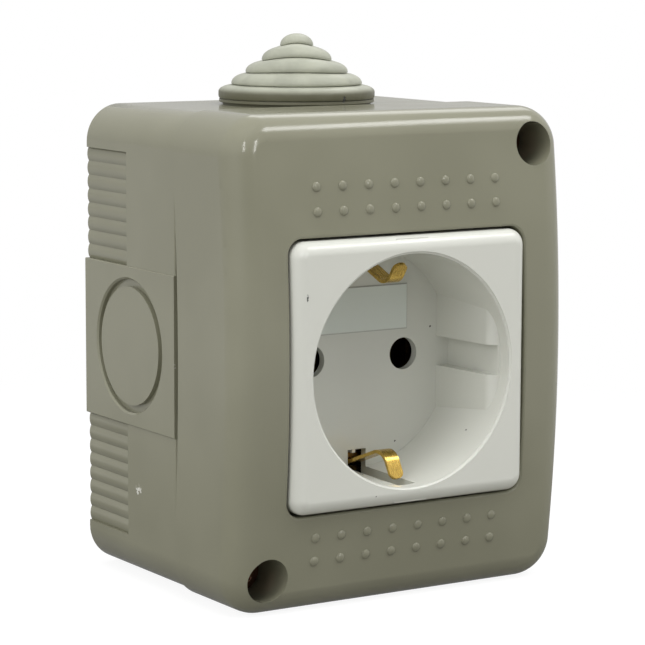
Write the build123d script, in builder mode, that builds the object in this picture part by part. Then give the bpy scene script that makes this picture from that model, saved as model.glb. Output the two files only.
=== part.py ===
from build123d import *
from math import asin, degrees, sqrt
import os

# Surface-mounted box with one type F (CEE 7/3) earthed socket module. Sizes are mm.
# X runs to the right seen from the front, +Y points into the wall and +Z is up.
# The wall face is the plane Y = 0 and the origin is the centre of that face.
# A name that ends in _at is a distance in front of the wall face.

# Front cover
cover_width = 66.5
cover_height = 82.5
cover_corner = 7.0
cover_edge = 5.0
cover_wall = 2.0
crest_at = 53.8
crown_drop = 3.0
seam_at = 32.0
lip_depth = 2.0
lip_wall = 1.2
lip_gap = 0.1
rim_depth = 4.0
relief_end = 6.75
relief_depth = 1.7
relief_reach = 2.4

# Rear box
box_step = 0.45
box_corner = 6.5
box_wall = 2.0
back_wall = 2.2
box_front_edge = 0.3
box_wall_edge = 0.6
panel_proud = 0.25
panel_half = 13.8
rib_count = 8
rib_pitch = 2.44
rib_length = 15.0
rib_crest_sink = 0.3
rib_valley_sink = 0.65

# Knock-out discs
knockout_at = 16.0
knockout_outer = 11.6
knockout_inner = 10.3
knockout_groove = 1.0
knockout_sink = 0.15
knockout_round = 0.3
cut_overlap = 0.01

# Slotted holes for the wall screws
fixing_offset = 28.0
fixing_slot_width = 4.5
fixing_slot_length = 9.0

# Cover screws on one diagonal
screw_side_inset = 6.75
screw_end_inset = 6.25
well_radius = 3.75
well_wall = 1.2
well_seat_at = 41.3
well_floor = 2.2
cover_head_radius = 3.3
cover_head_height = 2.4
cover_shank_radius = 1.7
cover_shank_length = 16.0
post_base_radius = 4.4
post_base_drop = 2.5
post_radius = 3.3
post_gap = 0.1
through_gap = 0.3
thread_gap = 0.05
pilot_extra = 2.0
cover_screw_turns = (25, 60)

# Cable grommet
grommet_at = 17.3
grommet_hole_radius = 10.0
grommet_gap = 0.1
rubber_wall = 1.4
grommet_inner_flange = 11.5
grommet_inner_lip = 1.4
grommet_flange_radius = 13.75
grommet_under_lip = 0.6
grommet_foot_inset = 0.25
grommet_radii = (11.5, 9.0, 6.15, 3.0)
grommet_heights = (3.4, 2.0, 2.1, 2.5, 2.3)
grommet_round = 0.45

# Raised dots on the cover
dot_pitch = 5.1
dot_columns = 8
dot_rows = (27.25, 31.34, -26.8, -30.8)
dot_radius = 0.8
dot_sides = 12
dot_height = 0.28
dot_root = 0.5

# Socket module, its centre lies below the centre of the cover
module_z = -1.8
plate_width = 46.4
plate_height = 45.2
plate_corner = 2.8
plate_edge = 2.4
plate_proud = 1.0
plate_wall = 1.8
skirt_depth = 6.3
skirt_wall = 1.3
opening_gap = 0.4
opening_round = 0.5
sleeve_wall = 1.6
ledge_width = 43.4
ledge_height = 43.0
ledge_gap = 0.1
ledge_wall = 1.6
ledge_notch_gap = 0.4

pit_depth = 17.5
pit_floor_radius = 19.3
pit_rim_radius = 20.05
pit_rim_round = 0.4
floor_wall = 1.5
collar_radius = 21.2
lug_reach = 22.3
lug_half = 4.0
lug_depth = 2.2

guide_floor_x = 16.5
guide_front_x = 17.5
guide_face_depth = 12.9
guide_depth = 14.9
guide_round_x = 18.05
guide_round_depth = 14.3
guide_top_inset = 0.4
groove_width = 5.2
groove_bottom_x = 19.05

pin_spacing = 19.0
pin_hole_radius = 2.8
field_half = 10.0
field_low = 4.4
field_high = 12.2
field_height = 0.25

clip_slot_half = 1.85
clip_slot_inner = 16.0
recess_reach = 21.3
recess_depth = 15.3
bulge_half = 3.2
bulge_reach = 22.2

# Socket base behind the module front
base_size = 41.6
base_corner = 2.5
base_depth = 18.9
base_wall = 1.6
column_offset = 17.5
module_screw_turns = (15, 40)
column_radius = 3.2
front_post_radius = 2.5
module_head_radius = 2.2
module_head_height = 1.6
module_shank_radius = 1.3
module_shank_length = 10.0
module_seat_depth = 5.0
barrier_wall = 1.0
barrier_x = 4.75
barrier_top = -5.0
barrier_depth = 9.5
wire_entry_margin = 1.0
access_radius = 3.2

# Contacts of sheet brass
sheet = 0.8
contact_half_gap = 2.45
contact_half_height = 3.0
contact_tip_gap = 1.3
clamp_floor_gap = 1.6
contact_post_half = 3.5
terminal_z = -12.0
terminal_half = 3.0
terminal_end = -15.0
strap_half = 2.5
strap_depth = 3.2
strap_ledge_depth = 6.0
strap_ledge_width = 4.0
tongue_z = -8.6

# Earth clips, turned round a rolled end in the trough of the earth strap
hinge_depth = 1.6
hinge_z = 18.6
clip_foot_depth = 0.3
bottom_knee_depth = 9.8
bottom_knee_z = 14.3
bottom_tip_depth = 12.6
bottom_tip_z = 19.1
top_knee_depth = 10.6
top_knee_z = 13.6
top_tip_depth = 13.4
top_tip_z = 17.6
roll_radius = 0.7
trough_gap = 0.1
clip_half = 1.35
clip_thick = 0.6
clip_bend = 3.0
clip_tip_round = 1.2

# Wire clamps
clamp_size = 7.0
clamp_thick = 1.5
wire_gap = 1.6
terminal_head_radius = 2.8
terminal_head_height = 2.2
terminal_shank_radius = 1.5
terminal_shank_length = 6.0
live_screw_turn = 20
neutral_screw_turn = 50
earth_screw_turn = 75

# Sizes that follow from the ones above
box_half_width = cover_width / 2 - box_step
box_half_height = cover_height / 2 - box_step
face_at = crest_at + plate_proud
skirt_at = face_at - skirt_depth
ledge_front_at = skirt_at - ledge_gap
ledge_back_at = ledge_front_at - ledge_wall
opening_width = plate_width + 2 * opening_gap
opening_height = plate_height + 2 * opening_gap
opening_corner = plate_corner
floor_at = face_at - pit_depth
floor_back_at = floor_at - floor_wall
base_back_at = floor_back_at - base_depth
base_floor_at = base_back_at + base_wall
base_inner_half = base_size / 2 - base_wall
pin_x = pin_spacing / 2
web_back_at = base_floor_at + clamp_floor_gap + clamp_thick + wire_gap
strap_back_at = floor_back_at - strap_depth
hinge_at = floor_back_at - hinge_depth
post_at = well_seat_at - well_floor - post_gap
screw_x = cover_width / 2 - screw_side_inset
screw_z = cover_height / 2 - screw_end_inset
relief_length = cover_height - 2 * relief_end
screw_places = ((screw_x, screw_z), (-screw_x, -screw_z))
column_places = ((column_offset, column_offset), (-column_offset, -column_offset))
crown_radius = ((cover_height / 2) ** 2 + crown_drop ** 2) / (2 * crown_drop)


def module_plane(at):
    # A plane across the depth with its origin on the axis of the socket module
    return Plane(origin=(0, -at, module_z), x_dir=(1, 0, 0), z_dir=(0, -1, 0))


def module_level(height):
    # A level plane at a height over the axis of the socket module
    return Plane.XY.offset(module_z + height)


def crown_fall(radius, height):
    # How far a crowned surface of that radius has fallen back at a height
    return radius - sqrt(radius ** 2 - height ** 2)


def crowned_block(inset, edge):
    # The block of the cover, or its hollow when inset is the wall thickness
    half_width = cover_width / 2 - inset
    half_height = cover_height / 2 - inset
    crest = crest_at - inset
    edge_at = crest - crown_fall(crown_radius - inset, half_height)
    with BuildPart() as block:
        with BuildSketch(Plane.YZ.offset(-half_width)):
            with BuildLine():
                Polyline(
                    (-edge_at, -half_height),
                    (-seam_at, -half_height),
                    (-seam_at, half_height),
                    (-edge_at, half_height),
                )
                ThreePointArc((-edge_at, half_height), (-crest, 0), (-edge_at, -half_height))
            make_face()
        extrude(amount=2 * half_width)
        fillet(block.edges().filter_by(Axis.Y), cover_corner - inset)
        fillet(block.faces().sort_by(Axis.Y)[0].edges(), edge)
    return block.part


def cross_screw(head_radius, head_height, shank_radius, shank_length, chamfered):
    # A pan head screw with a cross recess, seat at the origin and head to the front
    with BuildPart() as screw:
        with BuildSketch(Plane.XZ):
            Circle(head_radius)
        extrude(amount=head_height)
        chamfer(screw.edges().sort_by(Axis.Y)[0], head_height * 0.3, head_height * 0.5)
        with BuildSketch(Plane.XZ.offset(head_height)):
            Rectangle(head_radius * 1.1, head_radius * 0.27)
            Rectangle(head_radius * 0.27, head_radius * 1.1)
        extrude(amount=-head_height * 0.55, mode=Mode.SUBTRACT)
        with BuildSketch(Plane.XZ):
            Circle(shank_radius)
        extrude(amount=-shank_length)
        if chamfered:
            chamfer(screw.edges().sort_by(Axis.Y)[-1], shank_radius * 0.5)
    return screw.part


def raised_dot():
    # One low flat-topped dot on a short root, standing on the origin and facing the front
    with BuildPart() as dot:
        with BuildSketch(Plane.XZ.offset(-dot_root)):
            RegularPolygon(dot_radius, dot_sides)
        extrude(amount=dot_root + dot_height)
    return dot.part


# Rear box, a tray open to the front
with BuildPart() as back_box:
    with BuildSketch(Plane.XZ):
        RectangleRounded(2 * box_half_width, 2 * box_half_height, box_corner)
    extrude(amount=seam_at)
    fillet(back_box.faces().sort_by(Axis.Y)[0].edges(), box_front_edge)
    fillet(back_box.faces().sort_by(Axis.Y)[-1].edges(), box_wall_edge)
    # Flat panels on both sides, round the side knock-outs
    with BuildSketch(Plane.XZ):
        RectangleRounded(2 * (box_half_width + panel_proud), 2 * panel_half, panel_proud * 0.8)
    extrude(amount=seam_at)
    # Grip ribs over and under the panels
    for side in (1, -1):
        for up in (1, -1):
            with BuildSketch(Plane.XZ.offset(-box_wall)):
                with BuildLine():
                    valley_x = side * (box_half_width - rib_valley_sink)
                    crest_x = side * (box_half_width - rib_crest_sink)
                    outer_x = side * (box_half_width + box_wall)
                    for index in range(rib_count):
                        low_z = up * (panel_half + index * rib_pitch)
                        mid_z = up * (panel_half + (index + 0.5) * rib_pitch)
                        high_z = up * (panel_half + (index + 1) * rib_pitch)
                        ThreePointArc((valley_x, low_z), (crest_x, mid_z), (valley_x, high_z))
                    last_z = up * (panel_half + rib_count * rib_pitch)
                    first_z = up * panel_half
                    Polyline((valley_x, last_z), (outer_x, last_z), (outer_x, first_z), (valley_x, first_z))
                make_face()
            extrude(amount=rib_length + box_wall, mode=Mode.SUBTRACT)
    # Hollow of the tray
    with BuildSketch(Plane.XZ.offset(back_wall)):
        RectangleRounded(
            2 * (box_half_width - box_wall),
            2 * (box_half_height - box_wall),
            box_corner - box_wall,
        )
    extrude(amount=seam_at, mode=Mode.SUBTRACT)
    # Knock-outs left and right
    for side in (1, -1):
        with BuildSketch(Plane.YZ.offset(side * (box_half_width + panel_proud))):
            with Locations((-knockout_at, 0)):
                Circle(knockout_outer)
                Circle(knockout_inner, mode=Mode.SUBTRACT)
        extrude(amount=-side * knockout_groove, mode=Mode.SUBTRACT)
        with BuildSketch(Plane.YZ.offset(side * (box_half_width + panel_proud))):
            with Locations((-knockout_at, 0)):
                Circle(knockout_inner + cut_overlap)
        extrude(amount=-side * knockout_sink, mode=Mode.SUBTRACT)
    # Rounded rims of the side grooves
    groove_rims = back_box.edges().filter_by(GeomType.CIRCLE).filter_by(
        lambda edge: abs(edge.radius - knockout_outer) < cut_overlap
        and abs(abs(edge.center().X) - box_half_width - panel_proud) < cut_overlap
    )
    chamfer(groove_rims, knockout_round)
    # Knock-out in the bottom
    with BuildSketch(Plane.XY.offset(-box_half_height)):
        with Locations((0, -knockout_at)):
            Circle(knockout_outer)
            Circle(knockout_inner, mode=Mode.SUBTRACT)
    extrude(amount=knockout_groove, mode=Mode.SUBTRACT)
    # Hole for the cable grommet in the top
    with BuildSketch(Plane.XY.offset(box_half_height + box_wall)):
        with Locations((0, -grommet_at)):
            Circle(grommet_hole_radius)
    extrude(amount=-3 * box_wall, mode=Mode.SUBTRACT)
    # Slots for the wall screws
    with BuildSketch(Plane.XZ):
        with Locations((0, fixing_offset), (0, -fixing_offset)):
            SlotOverall(fixing_slot_length, fixing_slot_width, rotation=90)
    extrude(amount=back_wall, mode=Mode.SUBTRACT)
    # Stepped posts for the cover screws
    with BuildSketch(Plane.XZ.offset(back_wall / 2)):
        with Locations(*screw_places):
            Circle(post_base_radius)
    extrude(amount=seam_at - post_base_drop - back_wall / 2)
    with BuildSketch(Plane.XZ.offset(back_wall)):
        with Locations(*screw_places):
            Circle(post_radius)
    extrude(amount=post_at - back_wall)
    with BuildSketch(Plane.XZ.offset(post_at)):
        with Locations(*screw_places):
            Circle(cover_shank_radius + thread_gap)
    extrude(amount=post_at - well_seat_at + cover_shank_length + pilot_extra, dir=(0, 1, 0), mode=Mode.SUBTRACT)

# Front cover
cover_outside = crowned_block(0, cover_edge)
cover_hollow = crowned_block(cover_wall, cover_edge - cover_wall)
cover_dot = raised_dot()

with BuildPart() as cover_inside:
    with BuildSketch(module_plane(ledge_back_at)):
        RectangleRounded(
            opening_width + 2 * sleeve_wall,
            opening_height + 2 * sleeve_wall,
            opening_corner + sleeve_wall,
        )
    extrude(amount=crest_at - ledge_back_at)
    with BuildSketch(Plane.XZ.offset(well_seat_at - well_floor)):
        with Locations(*screw_places):
            Circle(well_radius + well_wall)
    extrude(amount=crest_at - well_seat_at + well_floor)
    add(cover_outside, mode=Mode.INTERSECT)

with BuildPart() as front_cover:
    add(cover_outside)
    add(cover_hollow, mode=Mode.SUBTRACT)
    add(cover_inside.part)
    # Thick rim and the lip that enters the rear box
    with BuildSketch(Plane.XZ.offset(seam_at)):
        RectangleRounded(
            cover_width - cover_wall,
            cover_height - cover_wall,
            cover_corner - cover_wall / 2,
        )
        RectangleRounded(
            2 * (box_half_width - box_wall - lip_gap - lip_wall),
            2 * (box_half_height - box_wall - lip_gap - lip_wall),
            box_corner - box_wall - lip_gap - lip_wall,
            mode=Mode.SUBTRACT,
        )
    extrude(amount=rim_depth)
    with BuildSketch(Plane.XZ.offset(seam_at - lip_depth)):
        RectangleRounded(
            2 * (box_half_width - box_wall - lip_gap),
            2 * (box_half_height - box_wall - lip_gap),
            box_corner - box_wall - lip_gap,
        )
        RectangleRounded(
            2 * (box_half_width - box_wall - lip_gap - lip_wall),
            2 * (box_half_height - box_wall - lip_gap - lip_wall),
            box_corner - box_wall - lip_gap - lip_wall,
            mode=Mode.SUBTRACT,
        )
    extrude(amount=lip_depth + rim_depth / 2)
    # Room for the posts of the rear box
    with BuildSketch(Plane.XZ.offset(seam_at - 2 * lip_depth)):
        with Locations(*screw_places):
            Circle(post_radius + through_gap)
    extrude(amount=well_seat_at - well_floor - seam_at + 2 * lip_depth, mode=Mode.SUBTRACT)
    # Opening for the socket module, with a ledge behind it
    with BuildSketch(module_plane(ledge_front_at)):
        RectangleRounded(opening_width, opening_height, opening_corner)
    extrude(amount=face_at - ledge_front_at, mode=Mode.SUBTRACT)
    with BuildSketch(module_plane(ledge_back_at)):
        RectangleRounded(ledge_width, ledge_height, opening_corner)
        Rectangle(2 * (bulge_half + ledge_notch_gap), opening_height)
    extrude(amount=ledge_wall, mode=Mode.SUBTRACT)
    # Wells and holes for the cover screws
    with BuildSketch(Plane.XZ.offset(well_seat_at)):
        with Locations(*screw_places):
            Circle(well_radius)
    extrude(amount=face_at - well_seat_at, mode=Mode.SUBTRACT)
    with BuildSketch(Plane.XZ.offset(well_seat_at - well_floor)):
        with Locations(*screw_places):
            Circle(cover_shank_radius + through_gap)
    extrude(amount=well_floor, mode=Mode.SUBTRACT)
    # Rounded edge of the opening
    opening_edges = front_cover.edges().filter_by(
        lambda edge: abs(edge.center().X) < opening_width / 2 + cut_overlap
        and abs(edge.center().Z - module_z) < opening_height / 2 + cut_overlap
        and -edge.bounding_box().max.Y > crest_at - crown_drop
    )
    fillet(opening_edges, opening_round)
    # Sides bow away from the rear box along the seam
    for side in (1, -1):
        with BuildSketch(Plane.YZ.offset(side * (cover_width / 2 - relief_reach))):
            with BuildLine():
                Line((-seam_at, -relief_length / 2), (-seam_at, relief_length / 2))
                ThreePointArc(
                    (-seam_at, relief_length / 2),
                    (-seam_at - relief_depth, 0),
                    (-seam_at, -relief_length / 2),
                )
            make_face()
        extrude(amount=side * 2 * relief_reach, mode=Mode.SUBTRACT)
    # Raised dots in rows over and under the opening
    for row in dot_rows:
        dot_z = module_z + row
        dot_y = -(crest_at - crown_fall(crown_radius, dot_z))
        dot_tilt = -degrees(asin(dot_z / crown_radius))
        for column in range(dot_columns):
            dot_x = (column - (dot_columns - 1) / 2) * dot_pitch
            add(cover_dot.moved(Location((dot_x, dot_y, dot_z), (dot_tilt, 0, 0))))

# Cable grommet, a hollow stepped cone that grips the wall of the rear box
with BuildPart() as cable_grommet:
    with BuildSketch(Plane.XZ.offset(grommet_at)):
        inner_z = box_half_height - box_wall
        outer_z = box_half_height
        neck_radius = grommet_hole_radius - grommet_gap
        with Locations((grommet_inner_flange / 2, inner_z - grommet_inner_lip / 2)):
            Rectangle(grommet_inner_flange, grommet_inner_lip)
        with Locations((neck_radius / 2, inner_z + box_wall / 2)):
            Rectangle(neck_radius, box_wall)
        # Foot of the flange, a little smaller than the flange itself
        foot_radius = grommet_flange_radius - grommet_foot_inset
        with Locations((foot_radius / 2, outer_z + grommet_under_lip / 2)):
            Rectangle(foot_radius, grommet_under_lip)
        step_z = outer_z + grommet_under_lip
        step_heights = (grommet_heights[0] - grommet_under_lip,) + grommet_heights[1:]
        step_radii = (grommet_flange_radius,) + grommet_radii
        for radius, height in zip(step_radii, step_heights):
            with BuildLine():
                Polyline(
                    (0, step_z),
                    (radius - grommet_round * 0.5, step_z),
                    (radius, step_z + grommet_round * 0.5),
                    (radius, step_z + height - grommet_round),
                    (radius - grommet_round, step_z + height),
                    (0, step_z + height),
                    close=True,
                )
            make_face()
            step_z = step_z + height
    revolve(axis=Axis((0, -grommet_at, 0), (0, 0, 1)))
    # Hollow, one wall thickness inside each step
    with BuildSketch(Plane.XY.offset(inner_z - 2 * grommet_inner_lip)):
        with Locations((0, -grommet_at)):
            Circle(neck_radius - rubber_wall)
    extrude(amount=2 * grommet_inner_lip + box_wall + sum(grommet_heights[:2]) - rubber_wall, mode=Mode.SUBTRACT)
    hollow_z = outer_z
    for radius, height in zip(grommet_radii[1:], grommet_heights[2:]):
        hollow_z = hollow_z + height
        hollow_top = hollow_z + sum(grommet_heights[:2]) - rubber_wall
        with BuildSketch(Plane.XY.offset(outer_z)):
            with Locations((0, -grommet_at)):
                Circle(radius - rubber_wall)
        extrude(amount=hollow_top - outer_z, mode=Mode.SUBTRACT)

# Cover screws
cover_screw = cross_screw(
    cover_head_radius, cover_head_height, cover_shank_radius, cover_shank_length, True
)
with BuildPart() as cover_screw_top:
    add(cover_screw.moved(Location((screw_x, -well_seat_at, screw_z), (0, cover_screw_turns[0], 0))))
with BuildPart() as cover_screw_bottom:
    add(cover_screw.moved(Location((-screw_x, -well_seat_at, -screw_z), (0, cover_screw_turns[1], 0))))

# Flat faced guides left and right in the pit, each with a groove at mid height
with BuildPart() as pit_guides:
    for side in (1, -1):
        with BuildSketch(module_level(-pit_rim_radius)):
            with BuildLine():
                Polyline(
                    (side * guide_front_x, -(floor_at + guide_face_depth)),
                    (side * guide_floor_x, -floor_at),
                    (side * guide_floor_x, -(floor_at - floor_wall / 2)),
                    (side * collar_radius, -(floor_at - floor_wall / 2)),
                    (side * collar_radius, -(floor_at + guide_depth)),
                    (side * (pit_rim_radius - guide_top_inset), -(floor_at + guide_depth)),
                )
                ThreePointArc(
                    (side * (pit_rim_radius - guide_top_inset), -(floor_at + guide_depth)),
                    (side * guide_round_x, -(floor_at + guide_round_depth)),
                    (side * guide_front_x, -(floor_at + guide_face_depth)),
                )
            make_face()
        extrude(amount=2 * pit_rim_radius)
        with BuildSketch(module_plane(floor_at)):
            with Locations((side * groove_bottom_x / 2, 0)):
                Rectangle(groove_bottom_x, groove_width)
        extrude(amount=pit_depth, mode=Mode.SUBTRACT)
    with BuildSketch(module_plane(floor_back_at)):
        Circle((pit_rim_radius + collar_radius) / 2)
    extrude(amount=pit_depth, mode=Mode.INTERSECT)

# White front of the socket module: plate, collar, pit and floor
with BuildPart() as socket_front:
    with BuildSketch(module_plane(skirt_at)):
        RectangleRounded(plate_width, plate_height, plate_corner)
    extrude(amount=skirt_depth)
    fillet(socket_front.faces().sort_by(Axis.Y)[0].edges(), plate_edge)
    with BuildSketch(module_plane(skirt_at)):
        RectangleRounded(
            plate_width - 2 * skirt_wall,
            plate_height - 2 * skirt_wall,
            plate_corner - skirt_wall,
        )
    extrude(amount=skirt_depth - plate_wall, mode=Mode.SUBTRACT)
    with BuildSketch(module_plane(floor_back_at)):
        Circle(collar_radius)
        Rectangle(2 * bulge_half, 2 * bulge_reach)
    extrude(amount=floor_wall + pit_depth - plate_wall / 2)
    # Posts for the module screws
    with BuildSketch(module_plane(floor_back_at)):
        with Locations(*column_places):
            Circle(front_post_radius)
    extrude(amount=floor_wall + pit_depth - plate_wall / 2)
    with BuildSketch(module_plane(floor_back_at)):
        with Locations(*column_places):
            Circle(module_shank_radius + thread_gap)
    extrude(amount=module_shank_length, mode=Mode.SUBTRACT)
    # Snap lugs behind the ledge of the cover
    with BuildSketch(module_level(-lug_half)):
        for side in (1, -1):
            with BuildLine():
                Polyline(
                    (side * (collar_radius - floor_wall / 2), -(ledge_back_at - ledge_gap)),
                    (side * lug_reach, -(ledge_back_at - ledge_gap)),
                    (side * lug_reach, -(ledge_back_at - ledge_gap - 0.4 * lug_depth)),
                    (side * collar_radius, -(ledge_back_at - ledge_gap - lug_depth)),
                    (side * (collar_radius - floor_wall / 2), -(ledge_back_at - ledge_gap - lug_depth)),
                    close=True,
                )
            make_face()
    extrude(amount=2 * lug_half)
    # Round pit with a slightly rounded rim
    with BuildSketch(module_level(0)):
        rim_wall_radius = pit_rim_radius - pit_rim_round
        with BuildLine():
            Polyline(
                (0, -floor_at),
                (pit_floor_radius, -floor_at),
                (rim_wall_radius, -(face_at - pit_rim_round)),
            )
            RadiusArc((rim_wall_radius, -(face_at - pit_rim_round)), (pit_rim_radius, -face_at), pit_rim_round)
            Polyline(
                (pit_rim_radius, -face_at),
                (pit_rim_radius, -face_at - plate_wall),
                (0, -face_at - plate_wall),
                (0, -floor_at),
            )
        make_face()
    revolve(axis=Axis((0, 0, module_z), (0, 1, 0)), mode=Mode.SUBTRACT)
    add(pit_guides.part)
    # Slightly raised field on the floor
    with BuildSketch(module_plane(floor_at)):
        with Locations((0, (field_low + field_high) / 2)):
            Rectangle(2 * field_half, field_high - field_low)
    extrude(amount=field_height)
    # Holes for the pins of a plug
    with BuildSketch(module_plane(floor_back_at)):
        with Locations((pin_x, 0), (-pin_x, 0)):
            Circle(pin_hole_radius)
    extrude(amount=floor_wall + field_height, mode=Mode.SUBTRACT)
    # Slots in the floor and recesses in the wall for the earth clips
    for up in (1, -1):
        with BuildSketch(module_plane(floor_back_at)):
            with Locations((0, up * (clip_slot_inner + recess_reach) / 2)):
                Rectangle(2 * clip_slot_half, recess_reach - clip_slot_inner)
            with Locations((-clip_slot_half / 3, up * (clip_slot_inner + clip_thick / 2))):
                Rectangle(clip_thick, clip_thick, mode=Mode.SUBTRACT)
        extrude(amount=floor_wall, mode=Mode.SUBTRACT)
        with BuildSketch(module_plane(floor_at)):
            with Locations((0, up * (hinge_z + recess_reach) / 2)):
                Rectangle(2 * clip_slot_half, recess_reach - hinge_z)
        extrude(amount=recess_depth, mode=Mode.SUBTRACT)

# Base of the socket module, a tray that holds the contacts
with BuildPart() as socket_base:
    with BuildSketch(module_plane(base_back_at)):
        RectangleRounded(base_size, base_size, base_corner)
    extrude(amount=base_depth)
    with BuildSketch(module_plane(base_floor_at)):
        RectangleRounded(2 * base_inner_half, 2 * base_inner_half, base_corner - base_wall)
    extrude(amount=base_depth, mode=Mode.SUBTRACT)
    with BuildSketch(module_plane(base_back_at)):
        with Locations(*column_places):
            Circle(column_radius)
    extrude(amount=base_depth)
    # Blocks under the pin contacts, and ledges on the walls under the ends of the earth strap
    with BuildSketch(module_plane(base_floor_at - base_wall / 2)):
        with Locations((pin_x, 0), (-pin_x, 0)):
            Rectangle(2 * contact_post_half, 2 * contact_post_half)
    extrude(amount=web_back_at - base_floor_at + base_wall / 2)
    with BuildSketch(module_plane(strap_back_at - strap_ledge_depth)):
        for up in (1, -1):
            with Locations((0, up * (base_size / 2 - base_wall / 2 - strap_ledge_width / 2))):
                Rectangle(2 * strap_half, strap_ledge_width)
    extrude(amount=strap_ledge_depth)
    # Barriers between the terminals
    with BuildSketch(module_plane(base_floor_at - base_wall / 2)):
        with Locations((barrier_x, (barrier_top - base_inner_half) / 2)):
            Rectangle(barrier_wall, base_inner_half + barrier_top + base_wall)
        with Locations((-barrier_x, (barrier_top - base_inner_half) / 2)):
            Rectangle(barrier_wall, base_inner_half + barrier_top + base_wall)
    extrude(amount=barrier_depth + base_wall / 2)
    # Windows for the troughs of the earth strap
    with BuildSketch(module_plane(strap_back_at)):
        for up in (1, -1):
            with Locations((0, up * base_size / 2)):
                Rectangle(2 * (strap_half + through_gap), 4 * base_wall)
    extrude(amount=strap_depth, mode=Mode.SUBTRACT)
    # Seats and holes of the module screws
    with BuildSketch(module_plane(base_back_at)):
        with Locations(*column_places):
            Circle(module_head_radius + through_gap)
    extrude(amount=base_depth - module_seat_depth, mode=Mode.SUBTRACT)
    with BuildSketch(module_plane(base_back_at)):
        with Locations(*column_places):
            Circle(module_shank_radius + through_gap)
    extrude(amount=base_depth, mode=Mode.SUBTRACT)
    # Openings for a screwdriver at the three terminals
    with BuildSketch(module_plane(base_back_at)):
        with Locations((pin_x, terminal_z), (-pin_x, terminal_z), (0, terminal_z)):
            Circle(access_radius)
    extrude(amount=base_wall, mode=Mode.SUBTRACT)
    # Wire entries in the bottom wall
    with BuildSketch(module_level(-base_size / 2)):
        with Locations(
            (pin_x, -(web_back_at - wire_gap / 2)),
            (-pin_x, -(web_back_at - wire_gap / 2)),
            (0, -(web_back_at - wire_gap / 2)),
        ):
            Rectangle(clamp_size - 2 * wire_entry_margin, wire_gap * 2)
    extrude(amount=base_wall, mode=Mode.SUBTRACT)

# Screws that hold the base to the module front, put in from the rear
module_screw = cross_screw(
    module_head_radius, module_head_height, module_shank_radius, module_shank_length, True
)
module_seat_at = floor_back_at - module_seat_depth
with BuildPart() as module_screw_right:
    add(module_screw.moved(Location((column_offset, -module_seat_at, module_z + column_offset), (180, module_screw_turns[0], 0))))
with BuildPart() as module_screw_left:
    add(module_screw.moved(Location((-column_offset, -module_seat_at, module_z - column_offset), (180, module_screw_turns[1], 0))))


def pin_contact(centre_x):
    # A fork of sheet brass round the pin axis and a tab for the wire clamp
    with BuildPart() as contact:
        with BuildSketch(module_level(-contact_half_height)):
            fork_depth = floor_back_at - contact_tip_gap - web_back_at
            with Locations((centre_x, -(web_back_at + fork_depth / 2))):
                Rectangle(2 * (contact_half_gap + sheet), fork_depth)
            with Locations((centre_x, -(web_back_at + sheet + fork_depth / 2))):
                Rectangle(2 * contact_half_gap, fork_depth, mode=Mode.SUBTRACT)
        extrude(amount=2 * contact_half_height)
        fillet(contact.edges().filter_by(Axis.Z).group_by(Axis.Y)[-1], sheet)
        with BuildSketch(module_plane(web_back_at)):
            with Locations((centre_x, (terminal_end - contact_half_height) / 2 + sheet / 2)):
                Rectangle(2 * (contact_half_gap - cut_overlap), -terminal_end - contact_half_height + sheet)
            with Locations((centre_x, terminal_z)):
                Circle(terminal_shank_radius + thread_gap, mode=Mode.SUBTRACT)
        extrude(amount=sheet)
    return contact.part


with BuildPart() as live_contact:
    add(pin_contact(pin_x))
with BuildPart() as neutral_contact:
    add(pin_contact(-pin_x))

# Earth strap with a trough at each end and a tab for the wire clamp
with BuildPart() as earth_strap:
    trough_inner = roll_radius + trough_gap
    trough_outer = trough_inner + sheet
    with BuildSketch(Plane.YZ.offset(-strap_half)):
        with Locations((-(strap_back_at + sheet / 2), module_z)):
            Rectangle(sheet, 2 * hinge_z)
        for up in (1, -1):
            with Locations((-hinge_at, module_z + up * hinge_z)):
                Circle(trough_outer)
            with Locations((-(hinge_at + sheet / 2), module_z + up * hinge_z)):
                Rectangle(sheet, 2 * trough_outer)
            with Locations((-(hinge_at + sheet + trough_outer), module_z + up * hinge_z)):
                Rectangle(2 * trough_outer, 3 * trough_outer, mode=Mode.SUBTRACT)
            with Locations((-hinge_at, module_z + up * hinge_z)):
                Circle(trough_inner, mode=Mode.SUBTRACT)
            with Locations((-(hinge_at + trough_outer / 2), module_z + up * hinge_z)):
                Rectangle(trough_outer, 2 * trough_inner, mode=Mode.SUBTRACT)
    extrude(amount=2 * strap_half)
    with BuildSketch(module_plane(web_back_at)):
        with Locations((0, tongue_z)):
            Rectangle(2 * strap_half, sheet)
    extrude(amount=strap_back_at - web_back_at + sheet / 2)
    with BuildSketch(module_plane(web_back_at)):
        with Locations((0, (tongue_z + sheet / 2 + terminal_end) / 2)):
            Rectangle(2 * terminal_half, tongue_z + sheet / 2 - terminal_end)
        with Locations((0, terminal_z)):
            Circle(terminal_shank_radius + thread_gap, mode=Mode.SUBTRACT)
    extrude(amount=sheet)

# Earth clips, each a bent strip with a rolled end in its trough


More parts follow.
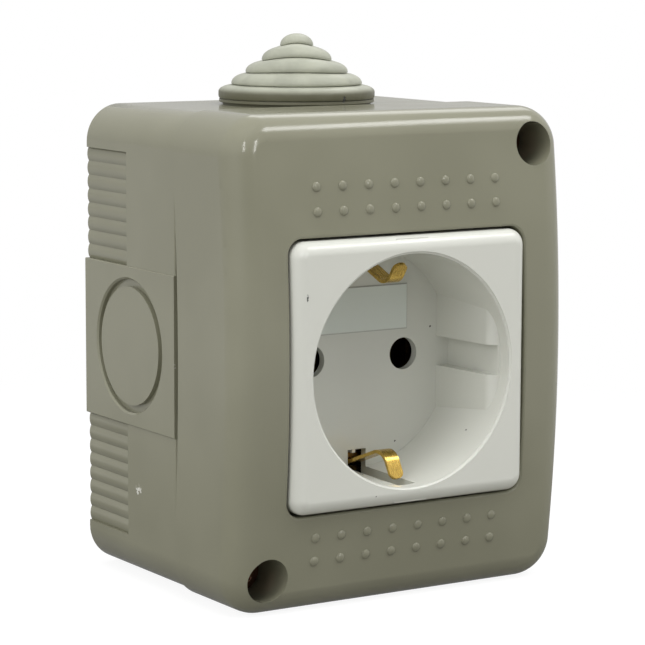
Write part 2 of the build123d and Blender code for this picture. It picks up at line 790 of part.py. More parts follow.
def bent_clip(up, knee_depth, knee_z, tip_depth, tip_z):
    # One clip of strip brass over (up = 1) or under (up = -1) the axis of the module
    with BuildPart() as clip:
        with BuildSketch(Plane.YZ.offset(-clip_half)):
            with BuildLine():
                FilletPolyline(
                    (-hinge_at, module_z + up * hinge_z),
                    (-(floor_back_at - clip_foot_depth), module_z + up * hinge_z),
                    (-(floor_at + knee_depth), module_z + up * knee_z),
                    (-(floor_at + tip_depth), module_z + up * tip_z),
                    radius=clip_bend,
                )
            trace(line_width=clip_thick)
            with Locations((-hinge_at, module_z + up * hinge_z)):
                Circle(roll_radius)
        extrude(amount=2 * clip_half)
        tip_edges = clip.edges().filter_by(lambda edge: abs(edge.length - clip_thick) < cut_overlap)
        fillet(tip_edges.sort_by(Axis.Y)[:2], clip_tip_round)
    return clip.part


with BuildPart() as earth_clip_bottom:
    add(bent_clip(-1, bottom_knee_depth, bottom_knee_z, bottom_tip_depth, bottom_tip_z))
with BuildPart() as earth_clip_top:
    add(bent_clip(1, top_knee_depth, top_knee_z, top_tip_depth, top_tip_z))


def wire_clamp(centre_x):
    # A square clamp plate behind a contact tab
    with BuildPart() as clamp:
        with BuildSketch(module_plane(web_back_at - wire_gap - clamp_thick)):
            with Locations((centre_x, terminal_z)):
                RectangleRounded(clamp_size, clamp_size, clamp_thick / 2)
                Circle(terminal_shank_radius + thread_gap, mode=Mode.SUBTRACT)
        extrude(amount=clamp_thick)
    return clamp.part


terminal_screw = cross_screw(
    terminal_head_radius, terminal_head_height, terminal_shank_radius, terminal_shank_length, False
)


def clamp_screw(centre_x, turn):
    # A terminal screw with its head to the rear, under the clamp plate
    seat_at = web_back_at - wire_gap - clamp_thick
    return terminal_screw.moved(Location((centre_x, -seat_at, module_z + terminal_z), (180, turn, 0)))


with BuildPart() as live_clamp:
    add(wire_clamp(pin_x))
with BuildPart() as neutral_clamp:
    add(wire_clamp(-pin_x))
with BuildPart() as earth_clamp:
    add(wire_clamp(0))
with BuildPart() as live_terminal_screw:
    add(clamp_screw(pin_x, live_screw_turn))
with BuildPart() as neutral_terminal_screw:
    add(clamp_screw(-pin_x, neutral_screw_turn))
with BuildPart() as earth_terminal_screw:
    add(clamp_screw(0, earth_screw_turn))

os.makedirs("parts", exist_ok=True)
back_box.part.label = "back_box"
export_step(back_box.part, "parts/back_box.step")
front_cover.part.label = "front_cover"
export_step(front_cover.part, "parts/front_cover.step")
cable_grommet.part.label = "cable_grommet"
export_step(cable_grommet.part, "parts/cable_grommet.step")
cover_screw_top.part.label = "cover_screw_top"
export_step(cover_screw_top.part, "parts/cover_screw_top.step")
cover_screw_bottom.part.label = "cover_screw_bottom"
export_step(cover_screw_bottom.part, "parts/cover_screw_bottom.step")
socket_front.part.label = "socket_front"
export_step(socket_front.part, "parts/socket_front.step")
socket_base.part.label = "socket_base"
export_step(socket_base.part, "parts/socket_base.step")
module_screw_right.part.label = "module_screw_right"
export_step(module_screw_right.part, "parts/module_screw_right.step")
module_screw_left.part.label = "module_screw_left"
export_step(module_screw_left.part, "parts/module_screw_left.step")
live_contact.part.label = "live_contact"
export_step(live_contact.part, "parts/live_contact.step")
neutral_contact.part.label = "neutral_contact"
export_step(neutral_contact.part, "parts/neutral_contact.step")
earth_strap.part.label = "earth_strap"
export_step(earth_strap.part, "parts/earth_strap.step")
earth_clip_top.part.label = "earth_clip_top"
export_step(earth_clip_top.part, "parts/earth_clip_top.step")
earth_clip_bottom.part.label = "earth_clip_bottom"
export_step(earth_clip_bottom.part, "parts/earth_clip_bottom.step")
live_clamp.part.label = "live_clamp"
export_step(live_clamp.part, "parts/live_clamp.step")
neutral_clamp.part.label = "neutral_clamp"
export_step(neutral_clamp.part, "parts/neutral_clamp.step")
earth_clamp.part.label = "earth_clamp"
export_step(earth_clamp.part, "parts/earth_clamp.step")
live_terminal_screw.part.label = "live_terminal_screw"
export_step(live_terminal_screw.part, "parts/live_terminal_screw.step")
neutral_terminal_screw.part.label = "neutral_terminal_screw"
export_step(neutral_terminal_screw.part, "parts/neutral_terminal_screw.step")
earth_terminal_screw.part.label = "earth_terminal_screw"
export_step(earth_terminal_screw.part, "parts/earth_terminal_screw.step")
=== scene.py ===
from math import cos, pi, radians, sin, sqrt, tau

import bmesh
import bpy
from mathutils import Matrix, Vector


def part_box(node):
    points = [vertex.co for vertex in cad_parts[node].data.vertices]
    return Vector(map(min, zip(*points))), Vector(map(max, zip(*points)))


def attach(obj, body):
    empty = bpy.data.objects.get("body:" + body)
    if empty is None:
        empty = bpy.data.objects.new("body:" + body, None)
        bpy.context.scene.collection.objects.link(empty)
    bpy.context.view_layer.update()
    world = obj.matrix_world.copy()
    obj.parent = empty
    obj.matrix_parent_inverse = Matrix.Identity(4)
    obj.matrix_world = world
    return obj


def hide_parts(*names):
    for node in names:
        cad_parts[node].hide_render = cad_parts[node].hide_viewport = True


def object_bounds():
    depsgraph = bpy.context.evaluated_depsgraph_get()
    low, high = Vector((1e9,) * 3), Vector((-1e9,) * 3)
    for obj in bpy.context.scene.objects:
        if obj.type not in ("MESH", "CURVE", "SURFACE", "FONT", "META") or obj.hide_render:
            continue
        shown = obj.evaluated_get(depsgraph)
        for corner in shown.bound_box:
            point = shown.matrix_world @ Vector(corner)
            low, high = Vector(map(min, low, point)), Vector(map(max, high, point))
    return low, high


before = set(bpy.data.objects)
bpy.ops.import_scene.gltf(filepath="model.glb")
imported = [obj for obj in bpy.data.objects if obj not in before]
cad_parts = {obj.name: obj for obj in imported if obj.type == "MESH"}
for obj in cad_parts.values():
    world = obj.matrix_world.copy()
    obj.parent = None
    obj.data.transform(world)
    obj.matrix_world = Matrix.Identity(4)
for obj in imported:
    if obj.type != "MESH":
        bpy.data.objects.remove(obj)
cad_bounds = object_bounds()

bl_info = {
    "name": "Earthed surface socket",
    "version": (1, 0, 0),
    "blender": (4, 5, 0),
    "location": "3D View > Sidebar > Socket",
    "description": "Finishes, soft parts and studio for a surface-mounted earthed socket",
    "category": "Object",
}

MM = 0.001
HOUSING = "housing"
MERGE_DISTANCE = 0.0005 * MM
ON_SURFACE = 0.02 * MM

# Seam between the box and the cover
SEAM_LAP = 2.0 * MM
RIM_INSET_X = 2.35 * MM
RIM_INSET_Z = 2.1 * MM
RIM_FALL = 1.6 * MM

# Rows of raised dots, in millimetres over the centre of the module
DOT_ROWS = (27.25, 31.34, -26.8, -30.8)
DOT_COLUMNS = 8
DOT_FIELD_HALF = 20 * MM
DOT_ARC_STEPS = 5
DOT_TURN_STEPS = 20
DOT_RIM_SINK = 0.1 * MM
STUD_HEIGHT_LEAST = 0.1 * MM
STUD_SINK = 0.7 * MM

# Plain field on the floor of the pit, in millimetres
FIELD_X = (-10.0, 10.0)
FIELD_Z = (2.8, 10.3)
FIELD_DEPTH = (-38.0, -37.7)
FIELD_EDGE = 0.08
# Margin of the painted shade round the field
FIELD_SHADE_MARGIN = 0.22

# Painted shade in the screw wells, in millimetres
WELL_REACH = 4.1
WELL_PAINTED_SHADE_STARTS = (-53.4, -48.5)
WELL_PAINTED_SHADE_ENDS = (-41.0, -38.0)

# Cable grommet: share of the ring wave by the height over the box in millimetres, and its direction
GROMMET_TURN_STEPS = 96
LIP_STEPS = 8
WAVE_SHARES = ((3.6, 0.0), (5.2, 0.35), (7.2, 1.0), (9.8, 0.85), (12.4, 0.0))
WAVE_DIRECTION = (-0.52655, -0.85013)
TIP_RADIUS = 1.8 * MM

# Smooth shading: crease angles in degrees, and the least area of a face that stays flat
GREY_CREASE = 30
WHITE_CREASE = 20
METAL_CREASE = 40
RUBBER_CREASE = 50
FLAT_AREA_LEAST = 60 * MM * MM

# Point at which all softboxes aim
SOFTBOX_AIM = Vector((0, -0.03, 0))


def linear_rgb(hex_text):
    """One sRGB hex value as linear red, green and blue."""
    channels = [int(hex_text[place:place + 2], 16) / 255 for place in (0, 2, 4)]
    return tuple(c / 12.92 if c <= 0.04045 else ((c + 0.055) / 1.055) ** 2.4 for c in channels)


def linear_rgba(hex_text):
    """One sRGB hex value as a linear colour with full alpha."""
    return (*linear_rgb(hex_text), 1.0)


def colour_property(name, description, hex_text):
    """A colour that a user can change, its default given as sRGB hex."""
    return bpy.props.FloatVectorProperty(
        name=name,
        description=description,
        subtype="COLOR",
        size=3,
        min=0.0,
        max=1.0,
        default=linear_rgb(hex_text),
    )


def length_property(name, description, millimetres):
    """A length that a user can change, its default given in millimetres."""
    return bpy.props.FloatProperty(
        name=name,
        description=description,
        unit="LENGTH",
        precision=5,
        min=0.0,
        default=millimetres * MM,
    )


class SocketColours(bpy.types.PropertyGroup):
    """Colours of the plastics, the rubber and the metals."""

    grey_plastic: colour_property("Grey plastic", "Box and cover", "8b8a77")
    grey_shade: colour_property("Grey plastic shade", "Slow drift in the pigment", "858471")
    white_plastic: colour_property("White plastic", "Front of the socket module", "d8d9d1")
    white_shade: colour_property("White plastic shade", "Slow drift in the white", "d7d8d0")
    # Field white: the field's own white, lightened as painted light for the shaded upper floor of the pit
    field_white_and_light: colour_property("Field white", "Plain field on the floor of the pit", "dee4de")
    base_plastic: colour_property("Base plastic", "Base behind the module", "26241f")
    # Painted shade deep inside the screw wells
    well_painted_shade: colour_property("Well shade", "Depth of the screw wells", "2a2118")
    rubber: colour_property("Rubber", "Cable grommet", "adaf9f")
    rubber_shade: colour_property("Rubber shade", "Darker patches of the grommet", "a0a293")
    # Darker colour towards the foot of the grommet
    rubber_foot: colour_property("Rubber foot", "Dimmer lower part of the grommet", "63624f")
    clip_brass: colour_property("Clip brass", "Earth clips", "e0bb62")
    # Sheet brass darkened as painted shade, so the pin holes look dark
    shaded_sheet_brass: colour_property("Sheet brass", "Contacts and strap", "6d5630")
    zinc: colour_property("Zinc", "Clamps and inner screws", "c8c9c6")
    # Passivated steel of the cover screws, its colour lightened as painted light so they show in their dark
    # wells
    lit_passivated: colour_property("Passivated steel", "Cover screws", "b58a78")
    scuff: colour_property("Scuff", "Whitened scratch in the grey plastic", "dcdbd2")
    speck: colour_property("Speck", "Dark specks in the white plastic", "4a4b4a")


class SocketSizes(bpy.types.PropertyGroup):
    """Sizes of the detail that is added to the solids."""

    dot_radius: length_property("Dot radius", "Raised dots on the cover", 0.82)
    dot_height: length_property("Dot height", "How far a dot stands proud", 0.36)
    dot_pitch: length_property("Dot pitch", "From one dot to the next", 5.1)
    crown_drop: length_property("Crown drop", "Fall of the cover from its crest to its edge", 3.0)
    ring_wave: length_property("Ring wave", "Unevenness of the rubber rings", 0.8)
    peel_grain: length_property("Peel grain", "Grain of the moulded skin", 1.1)


class SocketStage(bpy.types.PropertyGroup):
    """Camera and lamps."""

    camera_place: bpy.props.FloatVectorProperty(
        name="Camera place",
        description="Where the camera stands",
        subtype="TRANSLATION",
        unit="LENGTH",
        size=3,
        precision=5,
        default=(-0.24554, -0.41373, 0.06669),
    )
    camera_aim: bpy.props.FloatVectorProperty(
        name="Camera aim",
        description="Direction in which the camera looks",
        subtype="DIRECTION",
        size=3,
        precision=5,
        default=(0.53, 0.8367, -0.1376),
    )
    camera_roll: bpy.props.FloatProperty(
        name="Camera roll",
        description="Turn of the camera about its aim",
        subtype="ANGLE",
        default=radians(0.2024),
    )
    camera_lens: bpy.props.FloatProperty(
        name="Camera lens",
        description="Focal length on a 36 mm sensor",
        subtype="DISTANCE_CAMERA",
        default=147.5,
    )
    tent_level: bpy.props.FloatProperty(
        name="Tent level", description="Brightness of the photo tent all round", default=0.68
    )
    back_power: bpy.props.FloatProperty(
        name="Back power", description="Strip box at the back right", subtype="POWER", default=0.85
    )
    front_power: bpy.props.FloatProperty(
        name="Front power", description="Strip box at the front right", subtype="POWER", default=1.75
    )
    streak_power: bpy.props.FloatProperty(
        name="Streak power", description="Slim boxes seen only in the gloss", subtype="POWER", default=1.0
    )
    side_power: bpy.props.FloatProperty(
        name="Side power", description="Large softbox on the left", subtype="POWER", default=2.8
    )
    right_power: bpy.props.FloatProperty(
        name="Right power", description="Large softbox on the right", subtype="POWER", default=2.2
    )
    top_power: bpy.props.FloatProperty(
        name="Top power", description="Large softbox overhead in front", subtype="POWER", default=3.4
    )


def colours():
    """The colours of the open scene."""
    return bpy.context.scene.socket_colours


def sizes():
    """The sizes of the open scene."""
    return bpy.context.scene.socket_sizes


def add_node(tree, kind, sockets=None, **settings):
    """Adds a node, with its settings and with a value or a link for each named socket."""
    node = tree.nodes.new(kind)
    for name, value in settings.items():
        setattr(node, name, value)
    for key, value in (sockets or {}).items():
        if isinstance(value, bpy.types.NodeSocket):
            tree.links.new(value, node.inputs[key])
        else:
            node.inputs[key].default_value = value
    return node


def start_material(name):
    """An empty node material with its output, its shader and its object coordinates."""
    material = bpy.data.materials.get(name) or bpy.data.materials.new(name)
    material.use_nodes = True
    tree = material.node_tree
    tree.nodes.clear()
    shader = add_node(tree, "ShaderNodeBsdfPrincipled")
    add_node(tree, "ShaderNodeOutputMaterial", {"Surface": shader.outputs["BSDF"]})
    place = add_node(tree, "ShaderNodeTexCoord").outputs["Object"]
    return material, tree, shader, place


def noise(tree, place, size, detail=3.0, distortion=0.0):
    """Noise whose features measure about size in metres."""
    sockets = {"Vector": place, "Scale": 1 / size, "Detail": detail, "Distortion": distortion}
    return add_node(tree, "ShaderNodeTexNoise", sockets).outputs["Fac"]


def spread(tree, value, low, high, start=0.3, end=0.7):
    """Spreads a value between start and end over the range from low to high."""
    sockets = {"Value": value, "From Min": start, "From Max": end, "To Min": low, "To Max": high}
    smooth = add_node(tree, "ShaderNodeMapRange", sockets, interpolation_type="SMOOTHSTEP")
    return smooth.outputs["Result"]


def mix_colour(tree, factor, first, second):
    """Mixes two colours, each a socket or linear red, green and blue."""
    ends = [end if isinstance(end, bpy.types.NodeSocket) else (*end, 1.0) for end in (first, second)]
    node = add_node(tree, "ShaderNodeMix", {0: factor, 6: ends[0], 7: ends[1]}, data_type="RGBA")
    return node.outputs[2]


def multiply(tree, first, second):
    """One value times another."""
    return add_node(tree, "ShaderNodeMath", {0: first, 1: second}, operation="MULTIPLY").outputs[0]


def bump(tree, layers):
    """Stacks bump layers, each a height socket with its depth in metres."""
    normal = None
    for height, depth in layers:
        sockets = {"Height": height, "Distance": depth, "Strength": 1.0}
        if normal is not None:
            sockets["Normal"] = normal
        normal = add_node(tree, "ShaderNodeBump", sockets).outputs["Normal"]
    return normal


def mark(tree, place, centre, stretch, radius, ragged=0.35):
    """A ragged spot round a point in millimetres: 1 inside, 0 outside."""
    offset = add_node(tree, "ShaderNodeMapping", {
        "Vector": place,
        "Location": [-c * MM * s for c, s in zip(centre, stretch)],
        "Scale": stretch,
    }).outputs["Vector"]
    distance = add_node(tree, "ShaderNodeVectorMath", {0: offset}, operation="LENGTH").outputs["Value"]
    rough = spread(tree, noise(tree, place, radius * MM * 0.8), -ragged * radius * MM, ragged * radius * MM)
    ragged_distance = add_node(
        tree, "ShaderNodeMath", {0: distance, 1: rough}, operation="ADD"
    ).outputs["Value"]
    return spread(tree, ragged_distance, 1.0, 0.0, radius * MM * 0.6, radius * MM)


def moulded_abs():
    """Glossy moulded ABS: a smooth skin with faint grain and soft, slightly wavy reflections."""
    material, tree, shader, place = start_material("moulded_abs_grey")
    drift = spread(tree, noise(tree, place, 22 * MM, 2.0), 0.0, 1.0)
    colour = mix_colour(tree, drift, colours().grey_plastic, colours().grey_shade)
    # A whitened scuff low on the left side and a chip of flash at the seam
    scuff = mark(tree, place, (-32.8, -18.6, -24.6), (1.0, 1.0, 1.0), 0.9, 0.6)
    colour = mix_colour(tree, scuff, colour, colours().scuff)
    chip = mark(tree, place, (-33.0, -32.4, -1.5), (1.0, 1.0, 0.45), 0.4)
    colour = mix_colour(tree, chip, colour, colours().scuff)
    # Painted shade: the screw wells darken with depth
    depth = add_node(tree, "ShaderNodeSeparateXYZ", {0: place}).outputs["Y"]
    reached = spread(tree, depth, 0.0, 1.0, *(end * MM for end in WELL_PAINTED_SHADE_STARTS))
    ended = spread(tree, depth, 1.0, 0.0, *(end * MM for end in WELL_PAINTED_SHADE_ENDS))
    sunk = multiply(tree, reached, ended)
    for screw in ("cover_screw_top", "cover_screw_bottom"):
        low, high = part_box(screw)
        well = ((low.x + high.x) / 2 / MM, 0, (low.z + high.z) / 2 / MM)
        inside = mark(tree, place, well, (1.0, 0.0, 1.0), WELL_REACH, 0.0)
        colour = mix_colour(tree, multiply(tree, inside, sunk), colour, colours().well_painted_shade)
    tree.links.new(colour, shader.inputs["Base Color"])
    handling = noise(tree, place, 9 * MM, 4.0)
    tree.links.new(spread(tree, handling, 0.14, 0.19, 0.1, 0.9), shader.inputs["Roughness"])
    shader.inputs["IOR"].default_value = 1.54
    skin = bump(tree, [(noise(tree, place, sizes().peel_grain, 1.0), 0.006 * MM), (scuff, 0.03 * MM)])
    tree.links.new(skin, shader.inputs["Normal"])
    return material


def field_mask(tree, place, margin):
    """The plain field on the floor of the pit: 1 inside, 0 outside, wider by a margin in millimetres."""
    axes = add_node(tree, "ShaderNodeSeparateXYZ", {0: place})
    mask = spread(tree, axes.outputs["Y"], 0.0, 1.0, *(end * MM for end in FIELD_DEPTH))
    for axis, (low, high) in (("X", FIELD_X), ("Z", FIELD_Z)):
        start = (low - margin) * MM
        end = (high + margin) * MM
        rise = spread(tree, axes.outputs[axis], 0.0, 1.0, start - FIELD_EDGE * MM, start)
        fall = spread(tree, axes.outputs[axis], 1.0, 0.0, end, end + FIELD_EDGE * MM)
        mask = multiply(tree, multiply(tree, mask, rise), fall)
    return mask


def moulded_polycarbonate():
    """White moulded polycarbonate: even, glossy, with a few soiled specks, painted light on the field in
    the pit and painted shade along its edge.
    """
    material, tree, shader, place = start_material("moulded_polycarbonate_white")
    drift = spread(tree, noise(tree, place, 16 * MM, 2.0), 0.0, 1.0, 0.1, 0.9)
    colour = mix_colour(tree, drift, colours().white_plastic, colours().white_shade)
    specks = (
        ((-21.0, -54.8, 11.75), (1.0, 1.0, 0.35), 0.22),
        ((15.15, -37.3, 2.56), (1.0, 1.0, 1.0), 0.22),
        ((9.85, -37.5, 6.62), (1.0, 1.0, 1.0), 0.18),
        ((7.9, -37.3, -17.1), (1.0, 1.0, 1.0), 0.2),
        ((15.1, -48.5, -14.1), (1.0, 1.0, 1.0), 0.22),
        ((-7.5, -54.8, -22.3), (1.0, 1.0, 1.0), 0.12),
    )
    for centre, stretch, radius in specks:
        colour = mix_colour(tree, mark(tree, place, centre, stretch, radius), colour, colours().speck)
    # The plain field on the floor of the pit is duller; its white is lightened as painted light, and
    # painted shade darkens its edge
    field_edge_shade = tuple(channel * 0.7 for channel in colours().white_shade)
    colour = mix_colour(tree, field_mask(tree, place, FIELD_SHADE_MARGIN), colour, field_edge_shade)
    field = field_mask(tree, place, 0.0)
    colour = mix_colour(tree, field, colour, colours().field_white_and_light)
    tree.links.new(colour, shader.inputs["Base Color"])
    skin_gloss = spread(tree, noise(tree, place, 7 * MM), 0.24, 0.26, 0.1, 0.9)
    gloss = add_node(tree, "ShaderNodeMath", {0: field, 1: 0.2, 2: skin_gloss}, operation="MULTIPLY_ADD")
    tree.links.new(gloss.outputs[0], shader.inputs["Roughness"])
    shader.inputs["IOR"].default_value = 1.58
    skin = bump(tree, [(noise(tree, place, sizes().peel_grain, 1.0), 0.004 * MM)])
    tree.links.new(skin, shader.inputs["Normal"])
    return material


def moulded_nylon():
    """Moulded nylon: nearly black, dull, with a fine even grain."""
    material, tree, shader, place = start_material("moulded_nylon_black")
    drift = spread(tree, noise(tree, place, 8 * MM), 0.0, 1.0)
    darker = tuple(channel * 0.9 for channel in colours().base_plastic)
    tree.links.new(mix_colour(tree, drift, colours().base_plastic, darker), shader.inputs["Base Color"])
    shader.inputs["Roughness"].default_value = 0.5
    shader.inputs["IOR"].default_value = 1.53
    grain = bump(tree, [(noise(tree, place, 0.5 * MM), 0.01 * MM)])
    tree.links.new(grain, shader.inputs["Normal"])
    return material


def moulded_rubber():
    """Soft moulded rubber: satin, uneven, darker towards the foot, with one small cut there."""
    material, tree, shader, place = start_material("moulded_rubber_grey")
    drift = spread(tree, noise(tree, place, 5 * MM, 3.0, 0.4), 0.0, 1.0)
    colour = mix_colour(tree, drift, colours().rubber, colours().rubber_shade)
    # The rubber is darker towards its foot
    height = add_node(tree, "ShaderNodeSeparateXYZ", {0: place}).outputs["Z"]
    foot_darkening = spread(tree, height, 1.0, 0.0, 42.8 * MM, 44.1 * MM)
    colour = mix_colour(tree, foot_darkening, colour, colours().rubber_foot)
    nick = mark(tree, place, (1.2, -30.95, 42.0), (1.0, 1.0, 0.55), 0.36, 0.2)
    colour = mix_colour(tree, nick, colour, colours().speck)
    tree.links.new(colour, shader.inputs["Base Color"])
    tree.links.new(spread(tree, noise(tree, place, 3 * MM), 0.36, 0.5), shader.inputs["Roughness"])
    shader.inputs["IOR"].default_value = 1.5
    skin = bump(tree, [
        (noise(tree, place, 0.45 * MM, 2.0), 0.006 * MM),
        (noise(tree, place, 3.2 * MM, 2.0), 0.18 * MM),
        (nick, -0.2 * MM),
    ])
    tree.links.new(skin, shader.inputs["Normal"])
    return material


def rolled_metal(name, colour, roughness, line_size, stretch):
    """Rolled sheet metal: fine lines along the strip, patches where fingers or tools touched it."""
    material, tree, shader, place = start_material(name)
    lines_place = add_node(tree, "ShaderNodeMapping", {"Vector": place, "Scale": stretch}).outputs["Vector"]
    lines = noise(tree, lines_place, line_size, 3.0)
    patches = spread(tree, noise(tree, place, 2.5 * MM, 3.0), 0.0, 1.0)
    darker = tuple(channel * 0.72 for channel in colour)
    tree.links.new(mix_colour(tree, patches, tuple(colour), darker), shader.inputs["Base Color"])
    shader.inputs["Metallic"].default_value = 1.0
    tree.links.new(spread(tree, lines, roughness * 0.8, roughness * 1.3), shader.inputs["Roughness"])
    tree.links.new(bump(tree, [(lines, 0.006 * MM)]), shader.inputs["Normal"])
    return material


def piece_from_bmesh(name, mesh, material, body, nodes=()):
    """Turns a bmesh into a finished piece that rides on a body and may stand for CAD nodes."""
    data = bpy.data.meshes.new(name)
    mesh.to_mesh(data)
    mesh.free()
    data.materials.append(material)
    piece = bpy.data.objects.new(name, data)
    bpy.context.scene.collection.objects.link(piece)
    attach(piece, body)
    if nodes:
        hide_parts(*nodes)
    return piece


def flat_faces(mesh):
    """For each vertex, the normals of the large flat faces that it belongs to."""
    flats = {}
    for polygon in mesh.polygons:
        offset = round(polygon.normal.dot(polygon.center) / MM, 1)
        key = tuple(round(part, 2) for part in polygon.normal) + (offset,)
        flats.setdefault(key, []).append(polygon)
    touching = {}
    for polygons in flats.values():
        if sum(polygon.area for polygon in polygons) < FLAT_AREA_LEAST:
            continue
        largest = max(polygons, key=lambda polygon: polygon.area)
        for polygon in polygons:
            for vertex in polygon.vertices:
                touching.setdefault(vertex, []).append(largest.normal.copy())
    return touching


def shade_smooth(piece, crease, curved=None):
    """Smooth shading up to a crease angle, in which large faces keep their true normals.

    A curved face can give its exact normal at a point, or None where the point lies off it.
    """
    mesh = piece.data
    mesh.shade_smooth()
    mesh.set_sharp_from_angle(angle=radians(crease))
    touching = flat_faces(mesh)
    # The normals of the faces round each vertex, weighted by their angle there
    around = {}
    for polygon in mesh.polygons:
        spots = [mesh.vertices[index].co for index in polygon.vertices]
        for place, index in enumerate(polygon.vertices):
            before = spots[place - 1] - spots[place]
            after = spots[(place + 1) % len(spots)] - spots[place]
            around.setdefault(index, []).append((polygon.normal.copy(), before.angle(after, 0.0)))
    # Each corner takes the true normal of its surface, or else the mean of the faces within the crease
    limit = cos(radians(crease))
    normals = [None] * len(mesh.loops)
    for polygon in mesh.polygons:
        own = polygon.normal.copy()
        for corner in polygon.loop_indices:
            index = mesh.loops[corner].vertex_index
            exact = curved(mesh.vertices[index].co) if curved else None
            choices = touching.get(index, ()) if exact is None else (exact,)
            best = max(choices, key=own.dot, default=None)
            if best is None or own.dot(best) <= limit:
                near = [normal * weight for normal, weight in around[index] if normal.dot(own) > limit]
                best = sum(near, own * 0.001).normalized()
            normals[corner] = best
    mesh.normals_split_custom_set(normals)
    return piece


def merged_copy(node):
    """A bmesh copy of a solid with its loose triangles merged."""
    mesh = bmesh.new()
    mesh.from_mesh(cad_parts[node].data)
    bmesh.ops.remove_doubles(mesh, verts=mesh.verts, dist=MERGE_DISTANCE)
    bmesh.ops.dissolve_degenerate(mesh, edges=mesh.edges, dist=MERGE_DISTANCE)
    return mesh


def smooth_copy(node, name, material, body, crease):
    """A merged, smooth shaded copy of a solid, which then stands for it."""
    return shade_smooth(piece_from_bmesh(name, merged_copy(node), material, body, (node,)), crease)


def finish_nodes(nodes, material):
    """Gives CAD nodes that keep their own shape a better material."""
    for node in nodes:
        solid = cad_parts[node]
        solid.data.materials.clear()
        solid.data.materials.append(material)


class SOCKET_OT_back_box(bpy.types.Operator):
    """Rear box in glossy grey plastic"""

    bl_idname = "socket.back_box"
    bl_label = "Rear box"

    def execute(self, context):
        mesh = merged_copy("back_box")
        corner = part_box("back_box")[1]
        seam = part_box("front_cover")[1].y - SEAM_LAP
        inner_x = corner.x - RIM_INSET_X
        inner_z = corner.z - RIM_INSET_Z
        # The inner edge of the rim falls back, so that the seam looks into the dark
        for vert in mesh.verts:
            at_rim = abs(vert.co.y - seam) < ON_SURFACE
            if at_rim and abs(vert.co.x) < inner_x and abs(vert.co.z) < inner_z:
                vert.co.y += RIM_FALL
        grey = moulded_abs()
        piece = piece_from_bmesh("rear_box_shell", mesh, grey, HOUSING, ("back_box",))
        shade_smooth(piece, GREY_CREASE)
        return {"FINISHED"}


class SOCKET_OT_front_cover(bpy.types.Operator):
    """Crowned front cover with rows of raised dots"""

    bl_idname = "socket.front_cover"
    bl_label = "Front cover"

    def execute(self, context):
        grey = moulded_abs()
        low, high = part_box("front_cover")
        half_height = (high.z - low.z) / 2
        drop = sizes().crown_drop
        radius = (half_height ** 2 + drop ** 2) / (2 * drop)
        crest = low.y
        mesh = merged_copy("front_cover")
        # The plain studs sink under the domes that stand for them
        for vert in mesh.verts:
            proud = crown_depth(crest, radius, vert.co.z) - vert.co.y
            if proud > STUD_HEIGHT_LEAST and abs(vert.co.x) < DOT_FIELD_HALF:
                vert.co.y += STUD_SINK
        piece = piece_from_bmesh("cover_shell", mesh, grey, HOUSING, ("front_cover",))

        def crown_normal(point):
            if abs(point.y - crown_depth(crest, radius, point.z)) > ON_SURFACE:
                return None
            lean = point.z / radius
            return Vector((0, -sqrt(1 - lean ** 2), lean))

        shade_smooth(piece, GREY_CREASE, crown_normal)
        dots = dot_rows(crest, radius)
        piece = piece_from_bmesh("cover_dots", dots, grey, HOUSING)
        piece.data.shade_smooth()
        return {"FINISHED"}


def crown_depth(crest, radius, height):
    """Where the crowned face of the cover lies at a height."""
    return crest + radius - sqrt(max(radius ** 2 - height ** 2, 0))


def one_dot():
    """One low dome round the Y axis, its rim sunk in the cover."""
    mesh = bmesh.new()
    verts = [mesh.verts.new((sizes().dot_radius, DOT_RIM_SINK, 0))]
    for step in range(DOT_ARC_STEPS + 1):
        angle = pi / 2 * step / DOT_ARC_STEPS
        point = (sizes().dot_radius * cos(angle), -sizes().dot_height * sin(angle), 0)
        verts.append(mesh.verts.new(point))
    turn_outline(mesh, verts, (0, 1, 0), DOT_TURN_STEPS)
    return mesh


def dot_rows(crest, radius):
    """All raised dots, each one upright on the crown of the cover."""
    plate_low, plate_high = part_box("socket_front")
    centre_z = (plate_low.z + plate_high.z) / 2
    mesh = one_dot()
    pattern = mesh.verts[:] + mesh.edges[:] + mesh.faces[:]
    for row in DOT_ROWS:
        height = centre_z + row * MM
        for column in range(DOT_COLUMNS):
            across = (column - (DOT_COLUMNS - 1) / 2) * sizes().dot_pitch
            place = Vector((across, crown_depth(crest, radius, height), height))
            turn = Matrix.Translation(place) @ Matrix.Rotation(-height / radius, 4, "X")
            copy = bmesh.ops.duplicate(mesh, geom=pattern)["geom"]
            verts = [part for part in copy if isinstance(part, bmesh.types.BMVert)]
            bmesh.ops.transform(mesh, matrix=turn, verts=verts)
    first = [part for part in pattern if isinstance(part, bmesh.types.BMVert)]
    bmesh.ops.delete(mesh, geom=first, context="VERTS")
    return mesh


def turn_outline(mesh, verts, axis, steps):
    """Turns an outline once round an axis through the origin, as a closed skin."""
    edges = [mesh.edges.new(pair) for pair in zip(verts, verts[1:])]
    bmesh.ops.spin(
        mesh,
        geom=verts + edges,
        cent=(0, 0, 0),
        axis=axis,
        angle=tau,
        steps=steps,
        use_merge=True,
    )
    bmesh.ops.remove_doubles(mesh, verts=mesh.verts, dist=MERGE_DISTANCE)
    bmesh.ops.recalc_face_normals(mesh, faces=mesh.faces)


